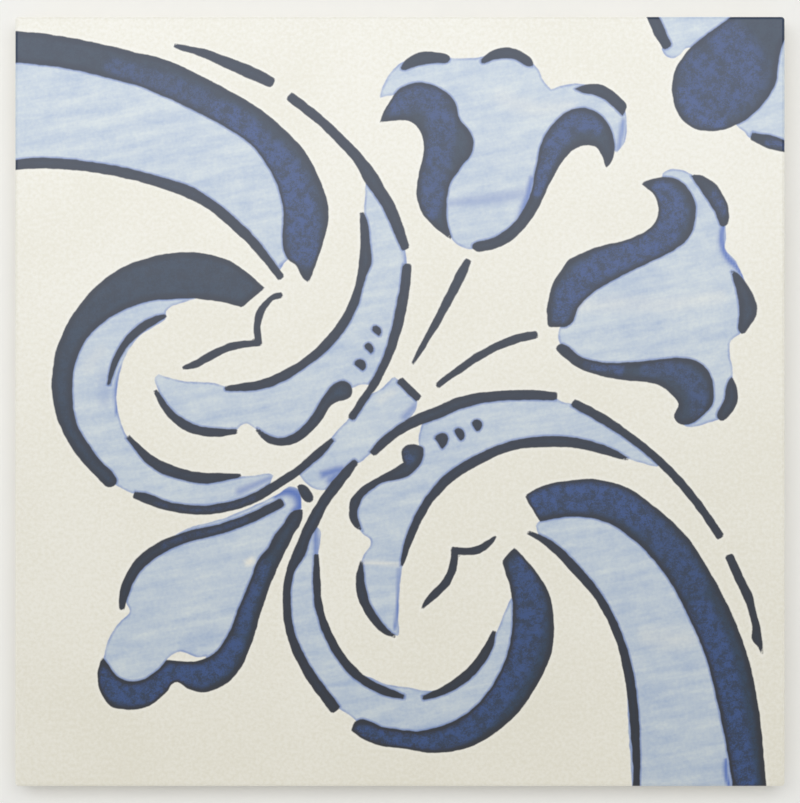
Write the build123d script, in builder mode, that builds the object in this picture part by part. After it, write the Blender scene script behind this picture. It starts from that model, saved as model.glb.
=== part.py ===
"""Square porcelain floor tile, dry-pressed and fired as one piece.

Millimetres, +Z up. The origin is the centre of the bedding plane, which is the flat of the
rim and ribs on the tile's back. The glazed face looks up along +Z.

The face and its edges carry the work size. The sides lean in a little towards the back, as
the die needs to let the pressed powder go. The back is the pressed relief that holds the
adhesive: a raised rim, and shallow drafted pockets with ribs standing between them.
"""
from build123d import *

import math
import os

# Work size at the glazed face
tile_width = 197.0
tile_length = 197.0
tile_thickness = 9.0

# Edges of the slab
corner_radius = 0.8
face_arris = 0.7
back_round = 0.5
side_draft = 0.75

# Pressed relief of the back
rim_width = 10.0
rib_width = 2.6
pockets_across = 9
pockets_along = 9
pocket_depth = 0.8
pocket_draft = 30.0
pocket_corner_cut = 2.5

# The back is smaller than the face by what the draft takes off both sides
draft_inset = tile_thickness * math.tan(math.radians(side_draft))
back_width = tile_width - 2 * draft_inset
back_length = tile_length - 2 * draft_inset

# The pockets and the ribs between them share the back evenly inside the rim
pitch_x = (back_width - 2 * rim_width + rib_width) / pockets_across
pitch_y = (back_length - 2 * rim_width + rib_width) / pockets_along
pocket_width = pitch_x - rib_width
pocket_length = pitch_y - rib_width
corner_cut = min(pocket_corner_cut, 0.4 * min(pocket_width, pocket_length))

with BuildPart() as porcelain_tile:
    # Slab, drawn at the work size, with its sides drafted inwards from the face to the back
    with BuildSketch(Plane.XY):
        Rectangle(tile_width, tile_length)
    extrude(amount=tile_thickness)
    sides = porcelain_tile.faces().filter_by(Axis.Z, reverse=True)
    draft(sides, Plane.XY.offset(tile_thickness), -side_draft)

    # Upright corners
    corner_edges = porcelain_tile.edges().group_by(Axis.Z)[1]
    fillet(corner_edges, radius=corner_radius)

    # Soft arris all round the glazed face, small enough to run round the corners
    face_edges = porcelain_tile.edges().group_by(Axis.Z)[-1]
    fillet(face_edges, radius=min(face_arris, 0.9 * corner_radius))

    # Smaller rounding of the back edge
    back_edges = porcelain_tile.edges().group_by(Axis.Z)[0]
    fillet(back_edges, radius=min(back_round, 0.8 * corner_radius))

    # Pockets of the back, with clipped corners, narrower at their floors
    with BuildSketch(Plane.XY) as pockets:
        with GridLocations(pitch_x, pitch_y, pockets_across, pockets_along):
            Rectangle(pocket_width, pocket_length)
        chamfer(pockets.vertices(), length=corner_cut)
    extrude(amount=pocket_depth, taper=pocket_draft, mode=Mode.SUBTRACT)

porcelain_tile.part.label = "porcelain_tile"

os.makedirs("parts", exist_ok=True)
export_step(porcelain_tile.part, "parts/porcelain_tile.step")

print("tile volume, cm3:", round(porcelain_tile.part.volume / 1000, 2))
print("pocket size, mm:", round(pocket_width, 2), "x", round(pocket_length, 2))
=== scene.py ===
"""Studio scene of a glazed porcelain floor tile with a hand-painted blue ornament.

The fired body is the frame's own node. On its face lies the glaze coat, one thin skin that runs
over the soft arris and a little way down the sides, and carries the painted scrolls, leaves, bud
and tulips. The painting is drawn in millimetres from the centre of the face, +X right and +Y up,
and follows the size of the tile in the frame.
"""
import math

import bmesh
import bpy
import numpy as np
from bpy.props import FloatProperty, FloatVectorProperty, IntProperty, PointerProperty
from mathutils import Color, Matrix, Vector


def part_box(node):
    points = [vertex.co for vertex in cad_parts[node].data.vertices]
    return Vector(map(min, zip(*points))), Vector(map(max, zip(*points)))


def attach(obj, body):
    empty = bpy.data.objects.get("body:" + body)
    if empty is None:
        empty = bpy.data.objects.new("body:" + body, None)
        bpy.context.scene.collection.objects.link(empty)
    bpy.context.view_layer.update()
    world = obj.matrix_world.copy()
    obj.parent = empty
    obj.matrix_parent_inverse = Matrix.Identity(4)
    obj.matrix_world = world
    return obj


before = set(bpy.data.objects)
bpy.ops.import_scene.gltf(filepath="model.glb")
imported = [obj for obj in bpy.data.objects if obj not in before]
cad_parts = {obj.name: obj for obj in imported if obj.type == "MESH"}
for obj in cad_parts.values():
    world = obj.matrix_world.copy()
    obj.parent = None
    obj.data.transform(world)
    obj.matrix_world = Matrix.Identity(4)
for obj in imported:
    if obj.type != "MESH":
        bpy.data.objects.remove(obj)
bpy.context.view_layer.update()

bl_info = {
    "name": "Painted porcelain tile",
    "version": (1, 0, 0),
    "blender": (4, 5, 0),
    "location": "3D View > Sidebar > Tile",
    "description": "Dresses a fired porcelain tile with its glaze, its painting and a plain studio",
    "category": "Object",
}

MM = 0.001
BODY_NODE = "porcelain_tile"
LOW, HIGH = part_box(BODY_NODE)

# Side of the square on which the painting below was drawn, in mm
DRAWING_SIDE = 197.0

# A brush line this wide at its end stops in a round blob, in mm
BLOB_WIDTH = 4.0

# How far from the edge of the ink, and of the wash, their depth is followed, in mm
INK_REACH, WASH_REACH = 5.0, 3.0

# Share of its radius over which a cobalt mark fades out
COBALT_FADE = 0.55

# How fast the painting fades out down the sides, in mm for each mm of drop
SIDE_FADE = 2

# Rows of the coat's mesh round the arris, and down the sides as shares of the glaze's run
# The last row turns in by so many mm
ARC_ROWS = 5
RUN_ROWS = (0.5, 1, 1.1)
TURNED_IN = 0.3

# Waves of the glaze's lower end: share of the run, mm for each radian, and phase
RUN_WAVES = [(0.2, 5.3, 0), (0.13, 2.1, 1)]

# Share of the bake's layout that the coat takes, and a length in mm that is as good as none
LAYOUT_SHARE = 0.99
TINY = 1e-6

# The picture's own proportions, and the width that Blender gives a camera's sensor, in mm
PICTURE_WIDE, PICTURE_HIGH = 800, 803
SENSOR = 36.0

# The painting: dark brush lines
# Each line is a list of points (x, y, brush width) that one smooth stroke runs through
BRUSH_LINES = {
    "dash outside the upper scroll": [
        (-57.4, 91, 1.2), (-55, 90.4, 1.5), (-50, 89.1, 2.2), (-45, 87, 2.8), (-40, 85, 3.2),
        (-33.6, 82, 2.8),
    ],
    "back of the upper leaf": [
        (-27.6, 77.6, 2.5), (-20, 71.6, 2.5), (-15, 66.8, 2.6), (-10, 61.2, 3), (-7.3, 57, 3.8),
        (-5.5, 54.2, 3.3), (-3.1, 50.4, 3.2), (-0.7, 45, 2.9), (1.2, 39.9, 2.2),
    ],
    "back of the upper leaf, lower half": [
        (1.7, 34.2, 2.4), (1.4, 30, 2.6), (0.5, 25, 2.7), (-0.5, 20, 2.7), (-1.9, 15, 2.4), (-3.8, 10, 2.2),
        (-6.9, 4, 2.1), (-9.7, 0, 1.9), (-12.1, -3.7, 2),
    ],
    "front of the upper leaf": [
        (-9.7, 47.8, 1.3), (-9.2, 45, 2.1), (-8.9, 40, 2.5), (-8.9, 35.5, 3.2), (-9.6, 33, 2.4),
        (-11.9, 25, 2.4), (-14.5, 20, 2.5), (-20, 13.5, 2.5), (-25, 9.5, 2.2), (-30, 6.5, 2.6),
        (-35, 4.5, 2.4), (-40, 3.7, 2.1), (-44.3, 3.4, 1.2),
    ],
    "tip of the upper leaf": [
        (-62.4, 2.4, 1.2), (-60, -1.6, 1.9), (-58, -3.9, 2.1), (-55, -6, 2.5), (-52, -7.3, 2.3),
        (-48, -7.9, 2.3), (-42.3, -7.7, 1.5),
    ],
    "comma in the upper leaf": [
        (-36.5, -7.2, 0.7), (-34.8, -8.9, 1.6), (-33, -9.9, 2), (-30, -10.3, 2.1), (-27, -9.4, 2.4),
        (-21.9, -5, 2.7), (-18.5, 0.2, 3.1), (-16.5, 2, 4.2), (-14.8, 2.8, 5.2),
    ],
    "lower edge of the upper scroll": [
        (-99.5, 60.5, 2.6), (-92, 61, 2.8), (-80, 60.2, 2.6), (-70, 58.4, 2.7), (-60, 55.7, 2.8),
        (-55, 54, 3.1), (-50, 51.4, 2.7), (-41.9, 45, 2.7), (-37, 40, 2.4), (-33, 35, 2.1), (-30.9, 32.3, 2),
    ],
    "upper bird mark, long arm": [
        (-55.2, 8.7, 1), (-53, 9.3, 1.8), (-50, 10.8, 2.2), (-46, 13, 2), (-43, 14.1, 2), (-36, 14.9, 1.6),
    ],
    "upper bird mark, short arm": [
        (-36.1, 15, 1.6), (-36.5, 20, 1.9), (-35.9, 22.5, 2), (-34.5, 24.8, 1.7), (-32.5, 26.7, 1.4),
        (-30.8, 27.2, 1.6),
    ],
    "inside of the upper ring": [
        (-60.4, 21.8, 1.1), (-62.5, 21, 1.8), (-65, 19.6, 2.2), (-67.5, 17.8, 2.1), (-70, 15.2, 1.9),
        (-73, 10, 1.5), (-74.5, 4.6, 1),
    ],
    "inside of the upper ring, below": [
        (-69.4, -9.3, 1.2), (-67.5, -11.3, 1.7), (-65, -14.1, 2.3), (-60, -17.2, 3), (-57, -18.3, 2.8),
        (-50, -19.6, 2.8), (-45, -19.3, 2), (-41.1, -18.9, 0.9),
    ],
    "outer edge of the upper ring": [
        (-67.3, -24.1, 1.9), (-65, -24.8, 2.6), (-60, -26.6, 2.3), (-50, -27.8, 2.4), (-40, -25.8, 2.5),
        (-30, -20.3, 2.3), (-25, -16.8, 2.1), (-21, -13.3, 2.2), (-17.6, -10.1, 1.4),
    ],
    "back of the lower leaf": [
        (-6.6, -12.9, 1.9), (-4.9, -11.1, 2.3), (0, -7.2, 2.5), (5, -4.5, 3), (9.9, -2.7, 3.1),
        (15, -0.5, 3.1), (20, 0.8, 2.8), (25, 1.4, 2.6), (36, 1.6, 2.5), (39.2, 1.4, 2.2),
    ],
    "back of the lower leaf, outer half": [
        (45, -0.7, 2.2), (50, -3.3, 2.4), (60, -9.9, 2.1), (70, -18.8, 2.2), (75, -24.6, 2.1),
        (81.6, -34, 2.2),
    ],
    "front of the lower leaf": [
        (0.6, -41.7, 0.9), (1.4, -38.3, 1.6), (2.5, -35, 2), (7.6, -25, 2.3), (12.1, -20, 2.6),
        (20, -14.9, 2.6), (30, -11, 2.5), (35, -10.4, 2.8), (45, -10.6, 2.7), (54, -13, 2), (58, -14.7, 0.9),
    ],
    "tip of the lower leaf": [
        (-9.9, -41.3, 1), (-10.2, -44, 1.9), (-10.1, -47, 2.5), (-9.4, -50.3, 2.5), (-7.9, -53.7, 2.4),
        (-5.9, -56.5, 2.2), (-3.8, -58.7, 1.7), (-1.6, -60, 0.9),
    ],
    "dash outside the lower scroll": [
        (84.6, -40.2, 2.3), (86.6, -44.7, 2.4), (89.1, -50, 2.4), (90.5, -54.8, 1.9), (91.2, -58, 2.1),
        (91.3, -60.2, 2.6), (92.2, -62.5, 1.3), (92.7, -64.6, 0.7),
    ],
    "inner edge of the lower scroll": [
        (33, -33.6, 1), (36, -35, 1.7), (40, -37.9, 2.3), (45, -43, 2.5), (50.8, -50, 2.2), (55.9, -60, 2.1),
        (58.6, -70, 2.4), (60.2, -85, 2.3), (60.6, -95, 1.8), (60.5, -99.5, 1.8),
    ],
    "lower bird mark, long arm": [
        (13.9, -38.2, 1.8), (13.8, -41, 2), (11.6, -46.5, 2.2), (9.3, -48.9, 2.1), (7.2, -51, 1.7),
        (5.8, -52.8, 0.8),
    ],
    "lower bird mark, short arm": [
        (24.3, -34.7, 0.8), (22.8, -36.2, 1.7), (20.5, -37.7, 2.1), (17.5, -38.4, 1.9), (13.9, -38, 1.8),
    ],
    "outer edge of the lower ring": [
        (-11.8, -15.9, 1.9), (-13.6, -18, 2.5), (-20, -26.5, 2.8), (-22.7, -31.6, 3.2), (-24, -34, 2.8),
        (-26.1, -39.5, 3.1), (-27.6, -42.3, 2.3), (-28.7, -46, 2), (-29, -50, 2.1), (-27.8, -60, 2.2),
        (-25.8, -65, 2.5), (-17, -78.1, 2.8),
    ],
    "inside of the lower ring": [
        (-21.4, -39.6, 1.2), (-21.3, -46, 2), (-21.1, -50, 2), (-18.2, -60, 2.2), (-15.4, -65, 2.3),
        (-11, -70, 2.4), (-7, -72.7, 2.1), (-3, -74.5, 2.1), (0.6, -75.5, 1.2),
    ],
    "inside of the lower ring, right": [
        (24, -59.2, 1), (23.1, -61.8, 2), (19, -68.2, 2.5), (12.5, -73.3, 2.3), (6.3, -75.8, 1.3),
    ],
    "upper line of the bud": [
        (-31, -26.2, 2.4), (-36, -28.8, 2.4), (-46, -32.6, 2.6), (-55, -34.8, 2.8), (-60, -36.8, 3),
        (-66.5, -41.4, 3), (-69, -45, 2.7), (-71, -51, 2), (-71.2, -52.7, 1.4),
    ],
    "tick on the stalk": [(0.5, 5, 2), (2.3, 3.2, 2.1), (4.3, 1.3, 2.1)],
    "stem of the upper tulip": [
        (3.4, 10, 1), (6.3, 15, 1.6), (11.8, 25, 2.3), (14.4, 30, 2.5), (15.9, 33, 2.6), (17.1, 35.5, 2),
    ],
    "stem of the right tulip": [
        (9.9, 4.3, 1.5), (15, 8.1, 1.9), (20, 11.5, 2.1), (25, 14.2, 2.1), (30, 16.1, 2.3), (34.2, 17, 2.1),
    ],
    "corner flower, upper line": [(64.3, 99.5, 2.9), (66.2, 95, 3), (68, 91.6, 2.6)],
    "corner flower, right line": [(90.8, 67.7, 2.2), (95, 66.3, 3.4), (99.5, 65, 2.7)],
}

# The painting: dark filled shapes
# Each shape is a list of legs. A leg starts at a sharp corner and runs smoothly to the next leg's start
# A shape of one leg is smooth all round
DARK_SHAPES = {
    "upper scroll": [
        [(-99.5, 94.9), (-90, 94), (-80, 92.3), (-70, 90), (-60, 87.5), (-50, 82.9), (-40, 77.5), (-35, 74.3),
         (-30, 70), (-25, 64.9), (-20, 55.5), (-18.6, 51.5), (-18.3, 48), (-19.8, 40), (-21.6, 35)],
        [(-23.3, 30.2), (-24.8, 31.6), (-27, 35.2), (-28.7, 36.3), (-29.5, 38), (-30, 50), (-31.3, 55),
         (-33.8, 60), (-37.4, 65), (-44.3, 70), (-50, 73.1), (-60, 77.9), (-65, 80.1), (-75, 82.9),
         (-85, 85.2)],
        [(-99.5, 86.8)],
    ],
    "upper ring": [
        [(-34.7, 29), (-37, 31.2), (-43, 35.7), (-50, 37.9), (-55, 38.2), (-60, 37.8), (-65, 36.6),
         (-70, 34.9), (-75, 31.9), (-80, 27.2), (-84, 22), (-87, 16), (-88.7, 10), (-88.8, 0), (-85.2, -10),
         (-81.3, -15.5), (-77, -20), (-74.4, -22), (-73, -21.6), (-72.4, -20.3), (-72.8, -19.2),
         (-76.5, -15.3), (-80, -10.5), (-82.5, -6.3), (-83.8, 1), (-83.3, 9), (-82, 13), (-79, 17.5),
         (-75, 21), (-70, 23.7), (-65, 25.5), (-60, 26.1), (-50, 26.1), (-45, 25.3)],
        [(-40.4, 24.1), (-37, 27)],
    ],
    "corner flower": [
        [(86, 99.5), (80, 95), (74.5, 90.7), (72.5, 88.3), (71, 86), (69.6, 81), (69.8, 78), (70.4, 75.5),
         (73, 71.3), (75, 70.1), (79, 69.2), (84, 69.9), (89, 72.5), (93, 76.4), (96, 81), (96.8, 86),
         (98.2, 92)],
        [(99.5, 94)],
        [(99.5, 99.5)],
    ],
    "upper tulip, left petal": [
        [(-5.3, 71.3), (-3.5, 75.5), (-1.8, 78.1), (0, 80.2), (2.5, 81.2), (5, 81.7), (7.5, 81.3), (10, 80.3),
         (12, 79), (13.8, 77), (15.7, 71.7), (17.3, 70), (18.8, 66), (18.5, 64), (15.5, 59.8), (13, 56),
         (11.9, 50.5), (12.2, 45.5)],
        [(13.5, 41.1), (12.2, 42), (8, 45.4), (5.8, 48), (4.8, 50.3), (4.3, 52.5), (5, 59), (6.1, 65),
         (5.7, 67.8), (4.5, 70.2), (2.5, 71.6), (0, 72), (-3, 71.7)],
    ],
    "upper tulip, right petal": [
        [(18.5, 39.4), (18.6, 40.3), (19.5, 40.8), (24, 42), (27, 43.8), (31.2, 48.5), (33, 52), (35, 61),
         (37, 68), (39, 70.8), (41.5, 73.4), (44, 74.7), (46, 75.2), (49.5, 74.5), (53.3, 71), (54.9, 66),
         (54.2, 61.5), (52.9, 59.8), (51.8, 62.5), (50, 65.2), (48, 65.6), (45, 64.8), (42.5, 62.5),
         (38.5, 56), (35, 48.8), (31, 43.4), (28, 40.8), (25, 39.3), (22, 38.6), (19.3, 38.6)],
    ],
    "upper tulip, left cap": [
        [(0.2, 85.2), (0.4, 86), (1.8, 87.6), (4, 89), (6.5, 89.6), (9, 89.4), (12.8, 88), (12.7, 87.3),
         (8, 86.6), (5, 86), (2.5, 85.2), (0.9, 84.8)],
    ],
    "upper tulip, middle cap": [
        [(20.6, 87.2), (21.2, 88), (25.5, 90.5), (27, 90.7), (31.5, 89.3), (34.2, 86.3), (34.1, 85.8),
         (33.4, 85.7), (29.5, 87.5), (27, 87.8), (24, 87.5), (20.9, 86.7)],
    ],
    "upper tulip, right cap": [
        [(44.6, 79.9), (46, 80.6), (50, 81.4), (54, 79.9), (56, 78.2), (58, 75.3), (57.7, 74.4), (57.3, 73.2),
         (55, 75.1), (53, 76.9), (50.5, 78.2), (46, 79.3)],
    ],
    "right tulip, upper petal": [
        [(61.6, 55.9), (65, 57.1), (70, 57.2), (72, 56.2), (73.8, 54.3), (75.7, 50), (75.6, 47), (73.8, 41.9),
         (70, 38.7), (65, 36.2), (55, 31.3), (50, 28.3), (47.5, 26.2), (45.5, 23.8), (43.6, 19.7),
         (42.5, 19.1), (39.5, 19.1), (38.2, 19.2), (37.6, 22), (38.3, 27.5), (39.2, 30.5), (41, 33.3),
         (43.5, 36.5), (46.5, 38), (50, 39.4), (59, 41.8), (63.8, 44.2), (65.5, 46.3), (66.1, 48.5),
         (65, 52.8)],
        [(63.5, 54.3)],
    ],
    "right tulip, lower petal": [
        [(40, 13.8), (41, 14.8), (41.8, 14.7), (46, 11.6), (50, 10.3), (55, 9.9), (60, 10.2), (65, 10.7),
         (73, 11.1), (75.5, 10.6), (78, 8.9), (79.5, 6.6), (80.3, 3), (80, -0.5), (79, -2), (77, -4),
         (73, -6), (71.5, -5.7), (70.2, -4.3), (71.2, -0.8), (69, 2.3), (67, 3.8), (64, 4.8), (58, 5.4),
         (52, 6.4), (46, 8.4), (43, 10.4), (41, 12.2)],
    ],
    "right tulip, upper cap": [
        [(74.2, 58.2), (77, 57.9), (79.5, 56.7), (83, 52.5), (84.2, 48), (83.5, 45), (82.8, 44.8),
         (80.5, 48.8), (77.7, 53)],
        [(76, 55.5)],
    ],
    "right tulip, middle cap": [
        [(84.8, 33.5), (85.8, 33.2), (88.7, 30.3), (91, 25.5), (91.4, 23.7), (90.1, 20), (87.2, 17.4),
         (86.9, 17.8), (86.9, 23), (86, 29), (85.2, 31.8)],
    ],
    "right tulip, lower cap": [
        [(84.9, 6.3), (84.3, 5.7), (83, 0.5), (81.3, -4.3), (82.2, -5), (85, -2.8), (86.1, -1), (86.5, 1.3),
         (85.7, 5)],
    ],
    "lower ring": [
        [(-12.5, -84.3), (-11, -81.6), (-10.4, -81.4), (-4, -83.4), (0, -84), (5, -84.3), (10, -83.2),
         (15, -81.1), (20, -77.3), (22.5, -74.3), (27, -66), (28.7, -58), (28.6, -50), (26.9, -43.5)],
        [(26.2, -41), (28, -38.6)],
        [(29.3, -37.3), (34, -42.5), (38.4, -49.8), (39.3, -55), (38.6, -65), (35.5, -71.8), (31, -78.8),
         (25, -84.3), (21, -87), (17, -88.7), (12, -89.8), (7, -89.9), (0, -88.7), (-4, -88.3), (-10, -86.1)],
    ],
    "lower scroll": [
        [(31.9, -24.1), (36, -21.8), (44, -20.1), (50, -19.9), (58, -22), (65, -26.7), (74, -35.3),
         (80, -44.7), (85, -54.5), (89, -65), (92, -80), (93.5, -95)],
        [(93.9, -99.5)],
        [(85.2, -99.5), (84, -91), (81, -76), (79, -67.5), (74.5, -56.5), (67.5, -43.8), (60, -35.6),
         (53, -31), (47, -29.6), (43, -29.5), (39.5, -30)],
        [(35.8, -30.8), (33.5, -27)],
    ],
    "lobed edge of the bud": [
        [(-76.3, -65.4), (-75, -66.8), (-73, -69.6), (-70.5, -71.3), (-68, -71.6), (-65.5, -71),
         (-63, -69.5)],
        [(-59.8, -66.1), (-56, -66.5), (-52.5, -66.5), (-50, -65.8), (-47.5, -64.4), (-44.5, -60.5),
         (-41, -52), (-38, -45), (-35.8, -39.6), (-34.5, -38.3), (-31.5, -33.3), (-30.3, -31.9),
         (-26.8, -27.8), (-25, -27.6), (-24.9, -29.5), (-27.3, -34.3), (-31.5, -43), (-35.3, -53),
         (-37.3, -60), (-41, -68.5), (-43, -71), (-45.5, -72.9), (-48, -74), (-51.5, -74.4), (-54, -73.7),
         (-57.3, -71.8), (-60, -74.6), (-61.5, -76.1), (-66.5, -78.7), (-69, -78.9), (-74.5, -77.7),
         (-76.2, -75.5), (-77.4, -69.5)],
    ],
    "comma in the lower leaf": [
        [(1, -15.6), (0.6, -14.7), (0.3, -13.3), (0.4, -12.3), (1.2, -11.5), (4.8, -11.2), (5.9, -11.8),
         (6.1, -13), (5, -16.3), (3.5, -18), (0, -19.9), (-3, -20.3), (-6, -21.6), (-9.5, -24.6),
         (-10.4, -26.2), (-10.9, -28.6), (-10.1, -31.9)],
        [(-9.5, -33.4), (-11.5, -32.3), (-12.8, -30.3), (-13.1, -28), (-12.7, -25.3), (-11.3, -23.3),
         (-5, -19), (-2, -17.4)],
    ],
    "knot at the bud": [
        [(-26.3, -21.5), (-25.7, -21.2), (-22.6, -23.2), (-22.1, -24.4), (-22.3, -25.5), (-23.2, -25.9),
         (-24.3, -25.5), (-26, -22.8)],
    ],
    "upper dot 1": [[(-7.2, 18.6), (-6.5, 19.5), (-5.3, 19), (-4.7, 17.9), (-5.1, 16.8), (-6.2, 17.3)]],
    "upper dot 2": [[(-9.2, 14), (-8.2, 15.1), (-7, 14.4), (-6.6, 13), (-7.4, 12.2), (-8.3, 13)]],
    "upper dot 3": [[(-11.7, 9.7), (-10.6, 10.8), (-9, 10.2), (-8.6, 9.3), (-9.6, 7.8), (-10.6, 8.7)]],
    "lower dot 1": [
        [(8.7, -9.2), (9.3, -8.7), (11.9, -8.4), (12.4, -9.5), (11.5, -11.5), (10.9, -12.1), (9.4, -10)],
    ],
    "lower dot 2": [[(13.9, -7.3), (14.5, -6.8), (16, -7.3), (16.5, -8.8), (15.8, -10.1), (14.3, -8.5)]],
    "lower dot 3": [[(18.5, -5.2), (19, -4.7), (20.5, -4.8), (21.1, -5.8), (19.7, -7.7), (19, -6.8)]],
}

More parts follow.
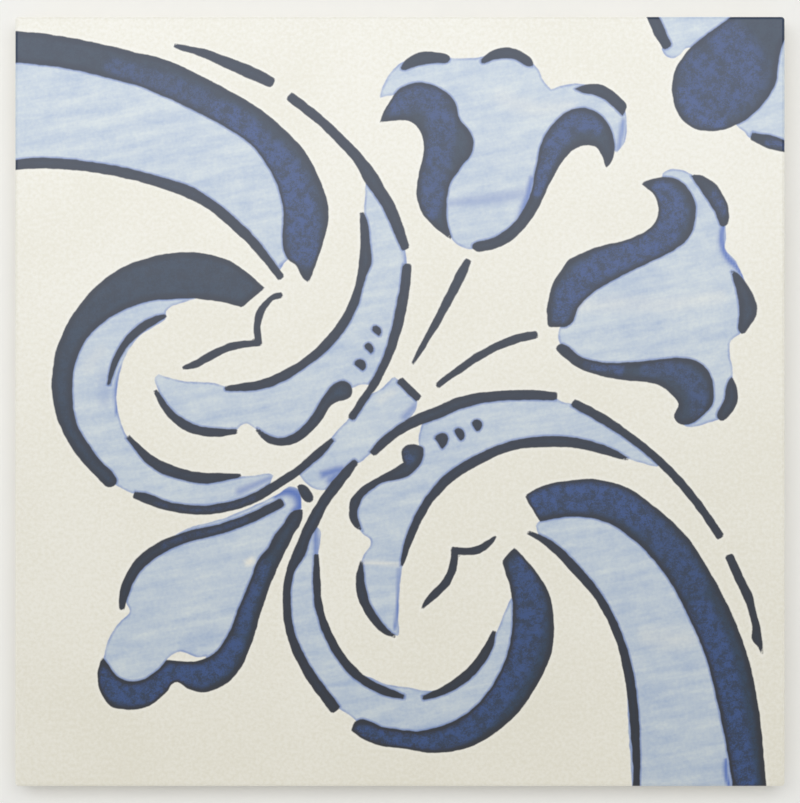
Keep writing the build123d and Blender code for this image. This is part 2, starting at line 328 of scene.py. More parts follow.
# The painting: pale blue washes, whose edges run under the dark lines where they meet
WASHES = {
    "upper scroll": [
        [(-99.5, 88), (-80, 86), (-60, 80), (-50, 75.5), (-42, 71), (-35, 65), (-30.5, 57), (-28.5, 48),
         (-28.4, 40)],
        [(-28.5, 36.4), (-29.3, 35.9)],
        [(-30.2, 34.3)],
        [(-31.3, 33.2), (-37, 40), (-42, 45), (-47.6, 50), (-55, 54), (-65, 57.2), (-75, 59.5), (-92, 61)],
        [(-99.5, 60.5)],
    ],
    "upper leaf": [
        [(-8.7, 56.5), (-9.1, 50), (-9, 40), (-8.9, 36), (-10.5, 30), (-14.5, 20), (-20, 13.5), (-30, 6.4),
         (-40, 3.7), (-44.5, 3.8), (-48, 4.7), (-56, 5.3), (-60.5, 6.5), (-61.8, 7), (-62.6, 6.4), (-61.9, 3),
         (-61.2, 0.2), (-58, -3.9), (-55, -6), (-50, -7.6), (-45, -7.8), (-42, -7.3), (-40.4, -5.9),
         (-39.5, -5.6), (-37, -7.1), (-34.8, -8.9), (-30, -10.2), (-25, -7.8), (-21.9, -4.9), (-18.6, 0.2),
         (-15, 3)],
        [(-12, 3.5), (-10.8, 4.1)],
        [(-8.6, 4.3)],
        [(-6.9, 4), (-4.7, 8), (-1.9, 15), (-0.5, 20), (0.5, 25), (1.4, 30), (1.7, 34.5), (1.3, 38.9),
         (-0.7, 45), (-3.1, 50.4), (-7.4, 57.2)],
    ],
    "upper ring": [
        [(-32.5, -18.9), (-33.6, -18.5), (-36, -18.8), (-41, -19.2), (-50, -19.6), (-57, -18.3), (-65, -14),
         (-70, -8.7), (-71.2, -6.2), (-72.5, 0), (-71.8, 7), (-70.9, 10.3), (-69, 13.9), (-66.5, 16.8),
         (-61, 20.4), (-59.8, 21.4), (-59.9, 23), (-58.7, 24.2), (-56.5, 25.1)],
        [(-52.3, 26.4), (-60, 28), (-70, 26), (-78, 21), (-84.5, 12), (-86, 3), (-83, -9), (-78, -16),
         (-74, -20.5), (-71, -22.3), (-65, -24.8), (-60, -26.6), (-50, -27.8), (-40, -25.8), (-35, -23.4),
         (-33.5, -22)],
        [(-33, -20.2)],
    ],
    "stalk": [
        [(-1.6, 6.4), (-6, 2.5), (-8.6, 1.2), (-11.1, -2), (-14.3, -5.6), (-17, -8.6), (-19.5, -12),
         (-22, -14.2)],
        [(-26.4, -18), (-25.2, -19.6), (-22.4, -22.1)],
        [(-18.8, -22.6)],
        [(-17.5, -22.8), (-16, -21), (-12, -16), (-10, -15.5), (-8.6, -14.2), (-5.5, -11.8), (0, -7.2),
         (2.4, -4.4), (4.2, -1.4), (4.4, 0.2), (2.3, 3.2)],
    ],
    "upper tulip": [
        [(-5.2, 77.8), (-3.4, 82.6), (0.2, 86.6), (4, 88.3), (8, 88.8), (15.5, 87.7), (20.5, 88.2),
         (27, 89.5), (31, 88.5), (34, 86.5), (35.5, 84.8), (36.8, 82)],
        [(38.7, 79.9), (45.5, 81.4), (50, 80.5), (54, 79), (57, 76), (58, 71), (57, 65.5)],
        [(55.2, 63.4), (53.5, 67), (51, 71), (47, 72.5), (42, 70), (38.5, 66), (36.5, 60), (35, 54), (33, 48),
         (30, 44), (26, 41.3), (21, 40), (18.6, 39), (16.8, 39.2), (15, 39.9), (12, 43.5), (9, 48), (9, 55),
         (10, 60), (14, 65), (13, 71), (10, 77), (5, 79.5), (0, 78.6), (-3.2, 78.2)],
    ],
    "right tulip": [
        [(41.5, 20.5), (41, 24), (42.5, 29), (46, 33), (52, 36), (60, 38.5), (67, 41.5), (71, 46), (71.5, 51),
         (70, 55), (67, 57.3), (67.2, 58.4), (68.2, 59.1), (74.3, 58.3), (77, 56), (80, 52.5), (83.2, 45.5),
         (83.4, 41.5), (83.2, 39.3), (86, 35.8), (88.5, 30), (89.5, 26), (89.5, 22), (88, 18.5), (84.3, 14.6),
         (84.3, 13), (85.2, 7), (84.8, 3), (84, -1), (82, -4.3), (79, -5.3), (76.5, -6.3), (72.5, -5.9),
         (75, -3), (77, 0), (77.5, 4), (75.5, 7.5), (71, 9), (64, 8), (56, 7.8), (50, 8.6), (45, 10.5),
         (41.5, 13.5), (40.5, 17)],
    ],
    "corner flower, left": [
        [(64.5, 99.5), (66.2, 95)],
        [(68, 91.6)],
        [(67, 90.3), (68.2, 88.4), (69.5, 87.9), (71, 88.3), (73.8, 90.6), (76, 90), (82, 95)],
        [(86, 99.5)],
    ],
    "corner flower, right": [
        [(99.5, 94), (95, 88), (94, 83), (91, 78), (87, 73), (86, 71.5), (88.2, 69), (89.5, 67.6), (91, 67.5),
         (95, 66.3)],
        [(99.5, 65)],
    ],
    "lower leaf": [
        [(5.9, -5), (9.9, -2.7), (15, -0.5), (20, 0.8), (25, 1.4), (36, 1.6), (39.5, 1.4), (40.3, 0.6),
         (46.5, -1.2), (50, -3.3), (60, -9.9), (65, -14.4)],
        [(66.8, -16.8), (62.5, -15.9), (58.5, -14.7), (54, -13), (45, -10.7), (35, -10.4), (30, -11),
         (20, -14.9), (12.1, -20), (7.7, -25), (2.5, -35), (0.6, -42), (-0.2, -50)],
        [(-0.3, -60.1), (-3.8, -58.7), (-7.9, -53.7), (-9.4, -50.3), (-10.1, -47), (-9.9, -41), (-9.4, -39.5),
         (-7.5, -36.4), (-7.6, -35.3), (-9.5, -33.8), (-11, -31.5), (-12, -28), (-10.3, -23.5), (-5, -20),
         (0, -18.2), (3, -15.5), (4.9, -11.2), (4.8, -10)],
    ],
    "lower ring": [
        [(-22.3, -31.8), (-21.1, -32.2), (-20.9, -39), (-21.3, -46), (-21.1, -50), (-18.2, -60), (-15.4, -65),
         (-11, -70), (-9, -70.3), (-3, -72.5), (0.5, -73), (8, -74), (12.5, -73.3), (19, -68.2),
         (23.1, -61.8), (25.6, -57), (26.5, -54.6)],
        [(28.6, -50), (31, -52), (31, -60), (29, -67), (25.5, -74), (20, -80), (13, -84), (5, -86),
         (-3, -85.5), (-10, -83.5), (-11.8, -81.2), (-15.8, -78.4), (-19.5, -75), (-25.8, -65), (-27.8, -60),
         (-29.1, -50), (-28.8, -46), (-27.7, -42), (-26, -39.5), (-24.6, -35)],
    ],
    "lower scroll": [
        [(34.7, -31.6), (36, -30.5), (40, -27), (48, -26), (56, -28), (64, -34), (71, -43), (77, -54),
         (82, -67), (85, -80)],
        [(88, -99.5)],
        [(59.4, -99.5), (58.9, -90), (58.5, -84), (58.1, -74), (57.5, -65), (53.5, -55), (48, -46.2),
         (41, -38.8), (36, -35)],
    ],
    "bud": [
        [(-25.2, -27.3), (-27, -31), (-31, -38.5), (-37.5, -52), (-42, -63), (-45, -66.5), (-48.5, -68),
         (-50, -66.3), (-49.5, -65.3), (-51.5, -65.4), (-57, -64.1)],
        [(-59.7, -66), (-61, -69.5), (-64, -72.5), (-68, -74), (-72, -73), (-75, -70), (-76, -67),
         (-75.4, -63.5), (-73.3, -58.5), (-71.5, -56.2), (-69.1, -53.6), (-70, -51.8), (-70.3, -48),
         (-68.8, -44.5), (-66.5, -41.4), (-60, -36), (-55, -32.8), (-45, -29.9), (-36, -26), (-31, -23.6),
         (-28, -21.8), (-26.8, -22)],
    ],
}

# Where the cobalt shows through inside the dark shapes
# Each mark is a strength and a list of points (x, y, radius), and fades out towards its edge
COBALT_MARKS = [
    (0.6, [(-74, 86, 2.6), (-66, 83.6, 3.2), (-57, 80.2, 3.6), (-50, 77, 3.6)]),
    (0.95, [(-49, 76, 2.8), (-42, 72.2, 4), (-36.5, 67, 4.6)]),
    (0.95, [(-32.5, 63, 5.2), (-28, 56, 6.2), (-25.4, 47, 6.2), (-24.6, 38, 4.8)]),
    (0.75, [(-2.5, 75, 2.6), (2, 77, 4.2), (8, 77, 4.6), (10.5, 71, 5), (10, 64, 4.6), (8.5, 55, 4.2),
            (8, 49, 3.2)]),
    (0.85, [(50, 70, 2.6), (46, 71.5, 3.4), (41.5, 68.5, 3.6), (37.5, 61, 2.6), (35, 54, 2.2)]),
    (0.85, [(84, 92, 7), (87, 84, 9), (80, 79, 9), (77, 85, 7)]),
    (1, [(73, 79, 3), (76, 73.5, 3.4), (82, 71.5, 2.6)]),
    (0.95, [(67, 54, 3.6), (70, 50, 4.4), (68, 43, 4.6), (60, 38.5, 4.4), (50, 34, 4.6), (43, 27, 4.2),
            (41, 22, 2.6)]),
    (0.7, [(48, 9.2, 1.4), (56, 8.2, 1.8)]),
    (0.55, [(63, 8, 2), (71, 7.6, 3.2), (76, 3, 3.4), (76, -2.5, 2.4)]),
    (0.7, [(81, 52.5, 2.4), (82.6, 49, 1.8)]),
    (0.72, [(-10, -84.5, 2.4), (0, -86.5, 2.6), (8, -87, 2.8), (16, -84.8, 3.4), (22, -80, 4), (27, -73, 4.4),
            (31, -66, 4.6), (33, -58, 5), (33, -50, 4.6), (30.5, -42, 3.2)]),
    (0.9, [(35, -26, 4), (44, -24.5, 4.8), (54, -25.5, 4.8), (62, -30, 4.4)]),
    (0.65, [(65, -33, 4.6), (71, -40, 4.8), (75, -47, 4.6)]),
    (0.82, [(77, -53, 4), (81, -62, 4.2), (84, -72, 4), (86, -82, 3.8), (88.5, -97, 3.6)]),
    (0.75, [(-76, -70, 2.6), (-72, -74.6, 3.4), (-64, -74.2, 3.6), (-58, -69.6, 3.2), (-51, -70.2, 3.8),
            (-46, -67.6, 3.4), (-42, -62, 2.8)]),
    (0.6, [(-40.5, -58, 2.4), (-38, -50, 2.2), (-34.5, -42, 1.8)]),
    (0.5, [(0.8, -13.4, 1.8), (2, -14.6, 1.8)]),
    (0.8, [(94.5, 66.3, 1.4), (98, 65.4, 1.4)]),
    (0.3, [(-62, -26.2, 1.4), (-50, -27.6, 1.4), (-38, -24.8, 1.4)]),
    (0.3, [(-60, -36.6, 1.6), (-50, -33.4, 1.6), (-40, -30.4, 1.5)]),
]

# Where the wash has gathered in deeper pools and rims, in the same form
POOLS = [
    (1, [(-32, -24.2, 1.2), (-28.4, -23, 2.2), (-26.2, -24, 2.8), (-25.8, -27.2, 2.6), (-27, -28, 1.8)]),
    (1, [(82.7, 45, 1.1), (82.4, 41, 1.5), (83.5, 37.5, 1.6), (86.5, 34, 1.4), (88, 31, 1)]),
    (0.9, [(-72.4, -3, 0.8), (-72.6, 3, 1.1), (-71.2, 9, 0.9)]),
    (0.2, [(-75.5, 0, 3), (-75.5, 7, 3)]),
    (0.6, [(-33, -19.5, 1.2), (-41, -23, 2)]),
    (0.85, [(-19.5, -18.6, 1.8), (-14.5, -17.6, 2), (-17.6, -20.3, 2.4)]),
    (0.6, [(4, -1, 1.6), (1.2, -4, 1.8)]),
    (0.7, [(-7.5, -13.4, 0.9), (-10, -15.4, 0.9)]),
    (0.9, [(-0.3, -43, 0.6), (-0.4, -50, 0.9), (-1.2, -58, 0.8)]),
    (0.8, [(-21.6, -32.6, 1.4), (-21.4, -40, 1.4), (-21, -50, 0.9)]),
    (0.38, [(13, 50.8, 1.8), (24, 52, 2.6), (33.5, 53.5, 2.4)]),
    (0.85, [(30.5, 46, 1.8), (32.3, 51, 2), (33.8, 57, 1.5)]),
    (0.7, [(57.2, 72, 1.2), (56, 64.5, 1.4)]),
    (0.7, [(1.2, 38.5, 1), (1.4, 35.5, 1)]),
    (0.8, [(-30.6, 34.6, 1.2), (-29, 36, 0.9)]),
    (1, [(83.4, -91.8, 0.9), (83.5, -95.5, 1.2), (84.3, -98.5, 1)]),
]

# Where the wash ran thin or a bubble left it bare, in the same form
THIN_PLACES = [
    (0.9, [(-38.9, -41.2, 1.6), (-38, -40.8, 1.7)]),
    (0.6, [(-9.4, -41.2, 0.9), (-5, -41.4, 1), (-0.6, -41.7, 0.9)]),
    (0.3, [(-5, 0.6, 2.2), (-2, 2.4, 2)]),
    (0.22, [(-80, 9, 3.5), (-76.5, 13, 3)]),
    (0.25, [(44, 24, 2.5), (56, 25, 4), (70, 25, 3.5), (82, 27, 3)]),
    (0.25, [(26, 78, 4), (34, 75, 4), (44, 76, 2.5)]),
    (0.22, [(63, -60, 4), (70, -61, 5), (75, -61, 3)]),
]


def linear(hex_code):
    """Scene-linear RGB of an sRGB hex colour."""
    parts = [int(hex_code[i : i + 2], 16) / 255 for i in (1, 3, 5)]
    return tuple(c / 12.92 if c <= 0.04045 else ((c + 0.055) / 1.055) ** 2.4 for c in parts)


def colour(name, description, hex_code):
    """A colour that the user may change."""
    return FloatVectorProperty(
        name=name, description=description, default=linear(hex_code), subtype="COLOR", size=3, min=0, max=1
    )


def length(name, description, mm):
    """A length that the user may change."""
    return FloatProperty(name=name, description=description, default=mm * MM, unit="LENGTH")


class TileSizes(bpy.types.PropertyGroup):
    """Sizes of the glaze coat."""

    corner: length("Corner radius", "Rounding of the tile's upright corners", 0.8)
    arris: length("Arris radius", "Rounding of the edge round the face", 0.7)
    draft: FloatProperty(
        name="Side draft", description="Lean of the sides", default=math.radians(0.75), subtype="ANGLE"
    )
    coat: length("Coat", "How far the glaze stands proud of the body", 0.06)
    run: length("Run", "How far the glaze runs down the sides", 1.1)
    cells: IntProperty(name="Cells", description="Mesh cells across the flat of the face", default=288)


class TileColours(bpy.types.PropertyGroup):
    """Colours of the glaze, the painting and the fired body."""

    glaze: colour("Glaze", "Warm white glaze", "#F4F3EC")
    glaze_shade: colour("Glaze, deeper", "Glaze where it lies a little thicker and warmer", "#ECEADF")
    glaze_thin: colour("Glaze, thin", "Whiter glaze where it ran thin beside a line", "#FBFAF6")
    # Multiplied in towards the near edge: partly a warmer glaze, partly painted shade where the light falls
    # off
    near_warmth_and_shade: colour("Warmth", "Tint of the thicker glaze at the near edge", "#F8F6F1")
    wash_thin: colour("Wash, thin", "Pale blue wash where the brush ran dry", "#D6E0E7")
    wash_full: colour("Wash, full", "Pale blue wash where the brush was wet", "#A9BCDA")
    pool: colour("Pool", "Blue that gathered in pools and along edges", "#5474C2")
    slate: colour("Slate", "Near-black blue of the brush lines", "#24334B")
    slate_near: colour("Slate, near edge", "Near-black of the lines under the thicker glaze", "#2D3038")
    slate_core: colour("Slate, thinner", "Bluer slate inside the wide shapes", "#2E4159")
    cobalt: colour("Cobalt", "Cobalt that shows inside the dark shapes", "#3D5893")
    biscuit: colour("Biscuit", "Fired body where no glaze covers it", "#DDD7CA")
    biscuit_shade: colour("Biscuit, deeper", "Darker grains and bruises of the body", "#C6BEAF")


class StudioSettings(bpy.types.PropertyGroup):
    """The plain studio: floor, light and camera."""

    margin: length("Margin", "Floor seen beyond each side of the tile", 3.9)
    lens: FloatProperty(name="Lens", description="Focal length", default=100.0, unit="CAMERA")
    softbox: FloatProperty(
        name="Softbox", description="Power of the large soft light", default=4.3, unit="POWER"
    )
    sky: FloatProperty(name="Sky", description="Strength of the room light overhead", default=0.52)
    horizon: FloatProperty(name="Horizon", description="Strength of the room light at the sides", default=1.3)
    air: colour("Air", "Colour of the room light", "#FAFAF8")
    floor: colour("Floor", "Pale paint of the floor", "#F7F7F5")


def smooth_line(points, closed=False):
    """Close points of one smooth curve through the given ones. Columns after x and y are carried along."""
    step = 0.5
    p = np.array(points, float)
    if closed:
        p = np.vstack([p[-2:], p, p[:3]])
    chord = np.hypot(*np.diff(p[:, :2], axis=0).T)
    slope = np.diff(p, axis=0) / chord[:, None]
    # A tangent weighs the slopes on its two sides by each other's chord
    if len(p) > 2:
        before, after = chord[:-1, None], chord[1:, None]
        inner = (slope[:-1] * after + slope[1:] * before) / (before + after)
        tangent = np.vstack([1.5 * slope[0] - 0.5 * inner[0], inner, 1.5 * slope[-1] - 0.5 * inner[-1]])
    else:
        tangent = np.vstack([slope, slope])
    spans = range(2, len(p) - 3) if closed else range(len(p) - 1)
    curve = []
    for i in spans:
        t = np.linspace(0, 1, max(2, math.ceil(chord[i] / step)), endpoint=False)[:, None]
        leave, arrive = tangent[i] * chord[i], tangent[i + 1] * chord[i]
        curve.append(
            (2 * t**3 - 3 * t**2 + 1) * p[i]
            + (t**3 - 2 * t**2 + t) * leave
            + (3 * t**2 - 2 * t**3) * p[i + 1]
            + (t**3 - t**2) * arrive
        )
    curve.append(p[spans[-1] + 1][None])
    return np.vstack(curve)


def outline(legs):
    """Closed loop of a shape: its legs joined at their corners, or one leg that is smooth all round."""
    if len(legs) == 1:
        return smooth_line(legs[0], closed=True)
    joined = [smooth_line(leg + after[:1])[:-1] for leg, after in zip(legs, legs[1:] + legs[:1])]
    return np.vstack([*joined, joined[0][:1]])


def line_depth(xs, ys, path, reach, relative=False):
    """How deep the crossings of mesh lines xs and ys lie inside a line of varying width, in mm.

    Outside the line the depth is less than 0, and is followed for reach mm. A relative depth is 1 on the
    middle of the line and 0 at its edge. The two ends of a line are blunt, as a flat brush leaves them,
    and those of a blob are round.
    """
    depth = np.full((len(xs), len(ys)), -float(reach))
    last = len(path) - 2
    for k, (a, b) in enumerate(zip(path[:-1], path[1:])):
        widest = max(a[2], b[2])
        far = widest / 2 + reach
        i = slice(*np.searchsorted(xs, (min(a[0], b[0]) - far, max(a[0], b[0]) + far)))
        j = slice(*np.searchsorted(ys, (min(a[1], b[1]) - far, max(a[1], b[1]) + far)))
        dx, dy = xs[i, None] - a[0], ys[None, j] - a[1]
        ex, ey = b[0] - a[0], b[1] - a[1]
        span = math.hypot(ex, ey)
        share = (dx * ex + dy * ey) / span**2
        held = np.clip(share, 0, 1)
        across = np.abs(dx * ey - dy * ex) / span
        along = np.abs(share - held) * span
        # A power of 4 ends the line nearly square, and one of 2 ends it round
        power = 4 if k in (0, last) and widest < BLOB_WIDTH else 2
        away = (across**power + along**power) ** (1 / power)
        half = (a[2] + (b[2] - a[2]) * held) / 2
        inside = (half - away) / half if relative else half - away
        depth[i, j] = np.maximum(depth[i, j], inside)
    return depth


def shape_depth(xs, ys, loop, reach):
    """How deep the crossings of mesh lines xs and ys lie inside a closed loop, up to reach mm either way."""
    edge = np.column_stack([loop, np.zeros(len(loop))])
    away = -line_depth(xs, ys, edge, reach)
    x0, y0 = loop[:-1].T
    x1, y1 = loop[1:].T
    inside = np.zeros(away.shape, bool)
    for i, x in enumerate(xs):
        cut = (x0 <= x) != (x1 <= x)
        heights = y0[cut] + (x - x0[cut]) * (y1[cut] - y0[cut]) / (x1[cut] - x0[cut])
        inside[i] = np.searchsorted(np.sort(heights), ys) % 2 == 1
    return np.where(inside, away, -away)


def mark_strength(xs, ys, marks, fade=1.0):
    """Strength of soft marks at the crossings of mesh lines xs and ys.

    A mark is at its full strength along its middle. It fades out over the outer part of its radius, of
    which fade is the share.
    """
    total = np.zeros((len(xs), len(ys)))
    for strength, points in marks:
        path = smooth_line([(x, y, 2 * radius) for x, y, radius in points])
        share = np.clip(line_depth(xs, ys, path, 0, relative=True) / fade, 0, 1)
        total = np.maximum(total, strength * share * share * (3 - 2 * share))
    return total


def painted_fields(xs, ys):
    """The painting at the crossings of mesh lines xs and ys: depths inside ink and wash in mm, and marks."""
    ink = [line_depth(xs, ys, smooth_line(points), INK_REACH) for points in BRUSH_LINES.values()]
    ink += [shape_depth(xs, ys, outline(legs), INK_REACH) for legs in DARK_SHAPES.values()]
    wash = [shape_depth(xs, ys, outline(legs), WASH_REACH) for legs in WASHES.values()]
    return {
        "ink": np.maximum.reduce(ink),
        "wash": np.maximum.reduce(wash),
        "cobalt": mark_strength(xs, ys, COBALT_MARKS, fade=COBALT_FADE),
        "pool": mark_strength(xs, ys, POOLS),
        "thin": mark_strength(xs, ys, THIN_PLACES),
    }


def add(tree, kind, inputs=None, out=None, **settings):
    """Adds a shader node with its settings and links. Returns its named output, or the first one shown."""
    node = tree.nodes.new("ShaderNode" + kind)
    for name, value in settings.items():
        setattr(node, name, value)
    for key, value in (inputs or {}).items():
        if isinstance(key, int):
            socket = node.inputs[key]
        else:
            socket = next(s for s in node.inputs if s.enabled and s.name == key)
        if isinstance(value, bpy.types.NodeSocket):
            tree.links.new(value, socket)
        else:
            socket.default_value = (*value, 1.0) if isinstance(value, Color) else value
    if out:
        return node.outputs[out]
    return next((s for s in node.outputs if s.enabled), None)


def new_material(name):
    """An empty node material."""
    made = bpy.data.materials.new(name)
    made.use_nodes = True
    made.node_tree.nodes.clear()
    return made


def painted_glaze(colours):
    """Satin porcelain glaze, fired over brushed cobalt and slate-blue stain.

    The stain bleeds a little into the glaze, so brush edges are soft by a fraction of a millimetre. The
    thick lines dried nearly black, with cobalt mottling in the wide shapes, and the wash shows its strokes.
    """
    # Sizes of the waver, the soft edges, the brush strokes and the relief, in mm
    sway_by, ink_edge, wash_edge = 0.3, 0.2, 0.22
    stroke_long, stroke_high, stroke_tilt = 18, 3, math.radians(11)
    peel_height, stain_height = 0.03, 0.02

    material = new_material("painted_glaze")
    tree = material.node_tree
    place = add(tree, "TexCoord", out="Object")
    mm = add(tree, "VectorMath", {0: place, "Scale": 1 / MM}, operation="SCALE")
    ink, wash, cobalt, pool, thin = (
        add(tree, "Attribute", out="Fac", attribute_name=name)
        for name in ("ink", "wash", "cobalt", "pool", "thin")
    )
    # Noise patterns, by their size in mm, detail and roughness
    sway, drift, clouds, mottle, grain, peel = (
        add(tree, "TexNoise", {"Vector": mm, "Scale": 1 / size, "Detail": detail, "Roughness": rough})
        for size, detail, rough in (
            (3.0, 3, 0.5), (30.0, 3, 0.5), (4.0, 5, 0.65), (2.4, 4, 0.95), (0.9, 3, 0.5), (4.0, 2, 0.5)
        )
    )

    # The brush edges waver by about a tenth of a millimetre
    sway = add(tree, "Math", {0: sway, 1: 2 * sway_by, 2: -sway_by}, operation="MULTIPLY_ADD")
    ink = add(tree, "Math", {0: ink, 1: sway}, operation="ADD")
    wash = add(tree, "Math", {0: wash, 1: sway}, operation="SUBTRACT")
    # Soft steps by depth in mm: edges of ink and wash, cores of thick lines and of wide shapes
    inked, washed, core, wide = (
        add(tree, "MapRange", {"Value": depth, "From Min": low, "From Max": high},
            interpolation_type="SMOOTHSTEP")
        for depth, low, high in (
            (ink, -ink_edge, ink_edge), (wash, -wash_edge, wash_edge), (ink, 0.3, 1.0), (ink, 0.5, 2.2)
        )
    )
    covered = add(tree, "Math", {0: 1.0, 1: thin}, operation="SUBTRACT")
    washed = add(tree, "Math", {0: washed, 1: covered}, operation="MULTIPLY")

    # From 0 at the far edge of the tile to 1 at the near edge
    away = add(tree, "SeparateXYZ", {"Vector": mm}, out="Y")
    near = add(tree, "MapRange", {"Value": away, "From Min": HIGH[1] / MM, "From Max": LOW[1] / MM})

    # Bare glaze: slow drift and a fine grain
    cloud = add(tree, "Mix", {"Factor": 0.7, "A": drift, "B": grain}, data_type="FLOAT")
    cloud = add(tree, "MapRange", {"Value": cloud, "From Min": 0.38, "From Max": 0.62})
    bare = add(tree, "Mix", {"Factor": cloud, "A": colours.glaze, "B": colours.glaze_shade}, data_type="RGBA")
    # Beside a thick line the glaze ran thin and stayed a shade whiter
    beside = add(tree, "MapRange", {"Value": ink, "From Min": -1.0, "From Max": -0.3, "To Max": 0.45})
    bare = add(tree, "Mix", {"Factor": beside, "A": bare, "B": colours.glaze_thin}, data_type="RGBA")

    # Wash: long brush strokes that rise a little to the right, small clouds and the grain
    turned = add(tree, "Mapping", {"Vector": mm, "Rotation": (0, 0, stroke_tilt),
                                   "Scale": (stroke_long, stroke_high, stroke_high)}, vector_type="TEXTURE")
    wetness = add(tree, "TexNoise", {"Vector": turned, "Scale": 1.0, "Detail": 3.5, "Roughness": 0.6})
    for share, pattern in ((0.35, clouds), (0.2, grain)):
        wetness = add(tree, "Mix", {"Factor": share, "A": wetness, "B": pattern}, data_type="FLOAT")
    wetness = add(tree, "MapRange", {"Value": wetness, "From Min": 0.35, "From Max": 0.68})
    # It is a little fuller towards the near edge
    wetness = add(tree, "Math", {0: near, 1: 0.2, 2: wetness}, operation="MULTIPLY_ADD")
    wetness = add(tree, "Math", {0: wetness, 1: 0.12}, operation="SUBTRACT", use_clamp=True)
    blue = add(tree, "Mix", {"Factor": wetness, "A": colours.wash_thin, "B": colours.wash_full},
               data_type="RGBA")
    # The wash dried deeper along its own edge, in patches, and where it touches a brush line
    rim = add(tree, "MapRange", {"Value": wash, "From Max": 0.7, "To Min": 0.75, "To Max": 0.0})
    patchy = add(tree, "MapRange", {"Value": clouds, "From Min": 0.35, "From Max": 0.6, "To Min": 0.35})
    fringe = add(tree, "MapRange", {"Value": ink, "From Min": -0.6, "From Max": -0.15, "To Max": 0.6})
    deep = add(tree, "Math", {0: rim, 1: patchy}, operation="MULTIPLY")
    for other in (fringe, pool):
        deep = add(tree, "Math", {0: deep, 1: other}, operation="MAXIMUM")
    blue = add(tree, "Mix", {"Factor": deep, "A": blue, "B": colours.pool}, data_type="RGBA")

    # Dark stain: a near-black rim round a bluer, mottled core in the wide shapes
    mottle = add(tree, "MapRange", {"Value": mottle, "From Min": 0.42, "From Max": 0.58})
    bluer = add(tree, "MapRange", {"Value": mottle, "To Min": 0.45})
    bluer = add(tree, "Math", {0: bluer, 1: wide}, operation="MULTIPLY")
    dark = add(tree, "Mix", {"Factor": near, "A": colours.slate, "B": colours.slate_near}, data_type="RGBA")
    dark = add(tree, "Mix", {"Factor": bluer, "A": dark, "B": colours.slate_core}, data_type="RGBA")
    # Cobalt shows in the core as grains, most of all where its marks are strong
    grains = add(tree, "MapRange", {"Value": mottle, "To Min": 0.12, "To Max": 0.86})
    show = cobalt
    for share in (grains, core):
        show = add(tree, "Math", {0: show, 1: share}, operation="MULTIPLY")
    dark = add(tree, "Mix", {"Factor": show, "A": dark, "B": colours.cobalt}, data_type="RGBA")

    # The glaze lies a little thicker and warmer towards the near edge, and this tint also darkens it there as
    # painted shade where the light falls off
    base = add(tree, "Mix", {"Factor": washed, "A": bare, "B": blue}, data_type="RGBA")
    base = add(tree, "Mix", {"Factor": near, "A": base, "B": colours.near_warmth_and_shade},
               data_type="RGBA", blend_type="MULTIPLY")
    base = add(tree, "Mix", {"Factor": inked, "A": base, "B": dark}, data_type="RGBA")

    # The stain stands a hair proud, and the glaze has a slow orange peel
    height = add(tree, "Math", {0: peel, 1: peel_height}, operation="MULTIPLY")
    height = add(tree, "Math", {0: inked, 1: stain_height, 2: height}, operation="MULTIPLY_ADD")
    relief = add(tree, "Bump", {"Height": height, "Distance": MM})
    rough = add(tree, "MapRange", {"Value": clouds, "To Min": 0.26, "To Max": 0.34})
    shader = add(tree, "BsdfPrincipled",
                 {"Base Color": base, "Roughness": rough, "Normal": relief, "IOR": 1.5})
    add(tree, "OutputMaterial", {"Surface": shader})
    return material


def fired_body(colours):
    """Dry-pressed porcelain body, fired without glaze: chalky, dense and finely grained."""
    # Sizes of the grain, of the patches and of the relief, in mm
    grain_size, patch_size, relief_height = 0.5, 18.0, 0.03

    material = new_material("fired_porcelain_body")
    tree = material.node_tree
    place = add(tree, "TexCoord", out="Object")
    mm = add(tree, "VectorMath", {0: place, "Scale": 1 / MM}, operation="SCALE")
    grain, patches = (
        add(tree, "TexNoise", {"Vector": mm, "Scale": 1 / size, "Detail": 3.0})
        for size in (grain_size, patch_size)
    )
    tone = add(tree, "Mix", {"Factor": 0.5, "A": grain, "B": patches}, data_type="FLOAT")
    tone = add(tree, "MapRange", {"Value": tone, "From Min": 0.35, "From Max": 0.7})
    base = add(tree, "Mix", {"Factor": tone, "A": colours.biscuit, "B": colours.biscuit_shade},
               data_type="RGBA")
    relief = add(tree, "Bump", {"Height": grain, "Distance": relief_height * MM})
    shader = add(tree, "BsdfPrincipled",
                 {"Base Color": base, "Roughness": 0.85, "Normal": relief, "IOR": 1.5})
    add(tree, "OutputMaterial", {"Surface": shader})
    return material


def floor_paint(settings):
    """Plain pale matt paint of the studio floor."""
    material = new_material("matt_floor_paint")
    tree = material.node_tree
    shader = add(tree, "BsdfPrincipled", {"Base Color": settings.floor, "Roughness": 0.9})
    add(tree, "OutputMaterial", {"Surface": shader})
    return material


def linked_object(name, data):
    """An object of a mesh, a light or a camera, linked to the scene at the origin."""
    made = bpy.data.objects.new(name, data)
    bpy.context.scene.collection.objects.link(made)
    return made


def coat_rows(sizes):
    """Rows of the coat's mesh past the flat of the face, by their way across in mm from a corner's centre."""
    corner, arris, run = sizes.corner / MM, sizes.arris / MM, sizes.run / MM
    arc = arris * math.pi / 2 * np.arange(ARC_ROWS + 1) / ARC_ROWS
    return corner - arris + np.concatenate([arc, arc[-1] + run * np.array(RUN_ROWS)])


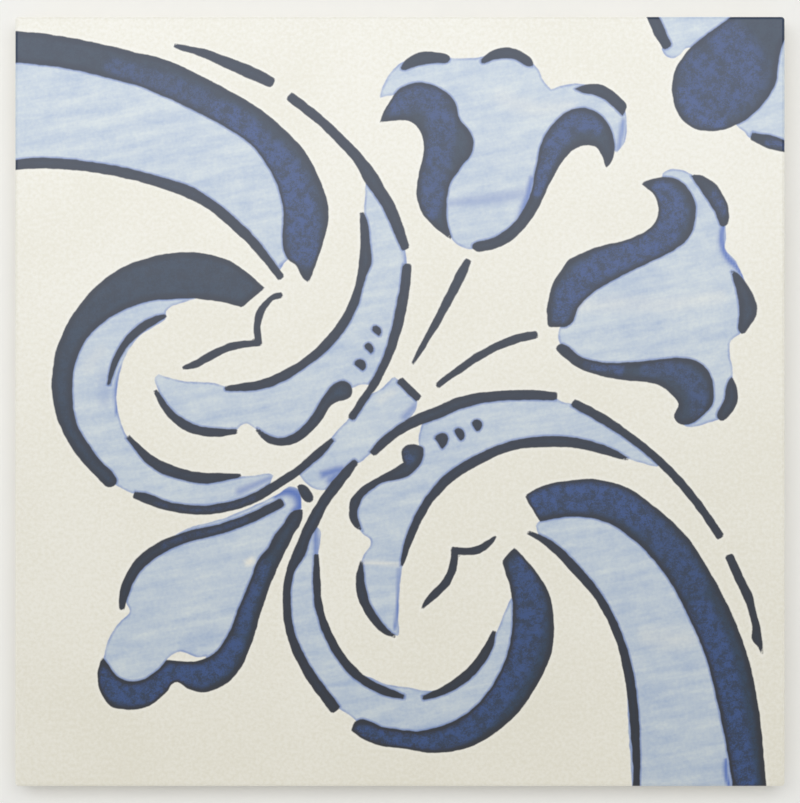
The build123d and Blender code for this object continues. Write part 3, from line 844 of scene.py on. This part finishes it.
def coat_profile(across, sizes):
    """Way out and drop of the coat's section, in mm, for the way across it from the corner's centre."""
    corner, arris, coat = sizes.corner / MM, sizes.arris / MM, sizes.coat / MM
    flat = corner - arris
    turn = np.clip((across - flat) / arris, 0, math.pi / 2)
    down = np.maximum(across - flat - arris * math.pi / 2, 0)
    out = np.minimum(across, flat) + (arris + coat) * np.sin(turn) - down * math.tan(sizes.draft)
    drop = (arris + coat) * (1 - np.cos(turn)) + down
    return out, drop


def build_coat(sizes):
    """The glaze coat: one grid laid over the face, bent round the arris and corners and down the sides."""
    low, high = np.array(LOW) / MM, np.array(HIGH) / MM
    half, centre = (high - low)[:2] / 2, (high + low)[:2] / 2
    arris, coat = sizes.arris / MM, sizes.coat / MM
    flat_half = half - sizes.corner / MM
    rows = coat_rows(sizes)
    lines = sizes.cells + 2 * len(rows)

    grid = bmesh.new()
    bmesh.ops.create_grid(grid, x_segments=lines, y_segments=lines, size=lines / 2)
    mesh = bpy.data.meshes.new("glaze_coat")
    grid.to_mesh(mesh)
    grid.free()
    co = np.empty(len(mesh.vertices) * 3)
    mesh.vertices.foreach_get("co", co)
    index = np.rint(co.reshape(-1, 3)[:, :2] + lines / 2).astype(int)

    # The coat rolled out flat: where the mesh lines of each axis lie, and each vertex
    spread = [
        np.concatenate([-flat - rows[::-1], np.linspace(-flat, flat, sizes.cells + 1), flat + rows])
        for flat in flat_half
    ]
    laid = np.column_stack([spread[k][index[:, k]] for k in (0, 1)])
    excess = np.maximum(np.abs(laid) - flat_half, 0)
    across = excess.max(axis=1)
    heading = excess / np.maximum(np.hypot(*excess.T), TINY)[:, None] * np.sign(laid)
    out, drop = coat_profile(across, sizes)
    out = np.where(across > rows[-2] + TINY, out - TURNED_IN, out)
    # The glaze stopped a little unevenly down the sides
    side = laid[:, 0] - laid[:, 1]
    uneven = sum(share * np.sin(side / wave + phase) for share, wave, phase in RUN_WAVES)
    drop = drop + np.maximum(drop - arris - coat, 0) * uneven
    place = np.clip(laid, -flat_half, flat_half) + heading * out[:, None] + centre
    mesh.vertices.foreach_set("co", (np.column_stack([place, high[2] + coat - drop]) * MM).ravel())

    # The painting, drawn at its own size and laid out over the tile's. It fades out down the sides
    plan = [np.sign(s) * np.minimum(np.abs(s), h) * (DRAWING_SIDE / 2 / h) for s, h in zip(spread, half)]
    fade = SIDE_FADE * np.maximum(drop - arris, 0)
    for name, field in painted_fields(*plan).items():
        values = field[index[:, 0], index[:, 1]]
        if name in ("ink", "wash"):
            values = values - fade
        attribute = mesh.attributes.new(name, "FLOAT", "POINT")
        attribute.data.foreach_set("value", values.astype(np.float32))

    # The bake's own layout is the coat rolled out flat
    corners = np.empty(len(mesh.loops), np.int32)
    mesh.loops.foreach_get("vertex_index", corners)
    rolled = laid / (2 * (flat_half + rows[-1])) * LAYOUT_SHARE + 0.5
    layout = mesh.uv_layers.new(name="OFBake")
    layout.uv.foreach_set("vector", rolled[corners].ravel())
    mesh.shade_smooth()
    mesh.update()
    return mesh


def lay_floor(settings):
    """A wide disc of floor at the height that the tile lies on. Its radius is in metres."""
    radius, sides = 3.0, 96
    disc = bmesh.new()
    bmesh.ops.create_circle(disc, cap_ends=True, segments=sides, radius=radius)
    mesh = bpy.data.meshes.new("studio_floor")
    disc.to_mesh(mesh)
    disc.free()
    mesh.materials.append(floor_paint(settings))
    linked_object("studio_floor", mesh)


def hang_softbox(settings):
    """The softbox hangs level behind the tile, with its near edge almost straight above the tile's middle.

    So the glaze mirrors it softly on the far half and hardly at all on the near half. Sizes are in metres.
    """
    high, wide, deep, left, back = 0.9, 1.1, 0.5, 0.1, 0.03
    light = bpy.data.lights.new("softbox", "AREA")
    light.shape = "RECTANGLE"
    light.size = wide
    light.size_y = deep
    light.energy = settings.softbox
    lamp = linked_object("softbox", light)
    lamp.location = (-left, back + deep / 2, HIGH[2] + high)


def light_room(scene, settings):
    """The room's even light, pale near the floor and dimmer overhead."""
    world = bpy.data.worlds.new("studio")
    world.use_nodes = True
    tree = world.node_tree
    tree.nodes.clear()
    way = add(tree, "TexCoord", out="Generated")
    rise = add(tree, "SeparateXYZ", {"Vector": way}, out="Z")
    strength = add(tree, "MapRange", {"Value": rise, "From Min": 0.1, "From Max": 0.5,
                                      "To Min": settings.horizon, "To Max": settings.sky})
    sky = add(tree, "Background", {"Color": settings.air, "Strength": strength})
    add(tree, "OutputWorld", {"Surface": sky})
    scene.world = world


def hang_camera(scene, settings):
    """A camera that looks straight down. The picture's height is its long side, which fills the sensor."""
    seen_wide = HIGH[0] - LOW[0] + 2 * settings.margin
    seen_high = seen_wide * PICTURE_HIGH / PICTURE_WIDE
    view = bpy.data.cameras.new("camera")
    view.lens = settings.lens
    view.sensor_width = SENSOR
    view.clip_start = 0.01
    camera = linked_object("camera", view)
    middle = (Vector(LOW) + Vector(HIGH)) / 2
    camera.location = (middle.x, middle.y, HIGH[2] + seen_high * settings.lens / SENSOR)
    scene.camera = camera


class TILE_OT_fired_body(bpy.types.Operator):
    """Gives the fired body its unglazed porcelain"""

    bl_idname = "tile.fired_body"
    bl_label = "Fired body"

    def execute(self, context):
        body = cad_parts[BODY_NODE]
        material = fired_body(context.scene.tile_colours)
        for place in body.material_slots:
            place.material = material
        return {"FINISHED"}


class TILE_OT_glaze_coat(bpy.types.Operator):
    """Lays the painted glaze coat over the face and its arris"""

    bl_idname = "tile.glaze_coat"
    bl_label = "Glaze coat"

    def execute(self, context):
        mesh = build_coat(context.scene.tile_sizes)
        mesh.materials.append(painted_glaze(context.scene.tile_colours))
        coat = linked_object("glaze_coat", mesh)
        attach(coat, "root")
        return {"FINISHED"}


class TILE_OT_studio(bpy.types.Operator):
    """Builds the plain studio: floor, soft light and a camera that looks straight down"""

    bl_idname = "tile.studio"
    bl_label = "Studio"

    def execute(self, context):
        scene = context.scene
        lay_floor(scene.tile_studio)
        hang_softbox(scene.tile_studio)
        light_room(scene, scene.tile_studio)
        hang_camera(scene, scene.tile_studio)
        scene.view_settings.view_transform = "Standard"
        return {"FINISHED"}


class TILE_PT_sidebar(bpy.types.Panel):
    """Lists the tile's pieces and their settings"""

    bl_idname = "TILE_PT_sidebar"
    bl_label = "Painted tile"
    bl_space_type = "VIEW_3D"
    bl_region_type = "UI"
    bl_category = "Tile"

    def draw(self, context):
        for settings in (context.scene.tile_sizes, context.scene.tile_colours, context.scene.tile_studio):
            box = self.layout.box()
            for name in settings.bl_rna.properties.keys():
                if name not in ("rna_type", "name"):
                    box.prop(settings, name)
        for operator in OPERATORS:
            self.layout.operator(operator.bl_idname)


OPERATORS = (TILE_OT_fired_body, TILE_OT_glaze_coat, TILE_OT_studio)
CLASSES = (TileSizes, TileColours, StudioSettings, *OPERATORS, TILE_PT_sidebar)


def register():
    for cls in CLASSES:
        bpy.utils.register_class(cls)
    bpy.types.Scene.tile_sizes = PointerProperty(type=TileSizes)
    bpy.types.Scene.tile_colours = PointerProperty(type=TileColours)
    bpy.types.Scene.tile_studio = PointerProperty(type=StudioSettings)


def unregister():
    del bpy.types.Scene.tile_studio
    del bpy.types.Scene.tile_colours
    del bpy.types.Scene.tile_sizes
    for cls in reversed(CLASSES):
        bpy.utils.unregister_class(cls)


def main():
    register()
    bpy.ops.tile.fired_body()
    bpy.ops.tile.glaze_coat()
    bpy.ops.tile.studio()


if __name__ == "__main__":
    main()
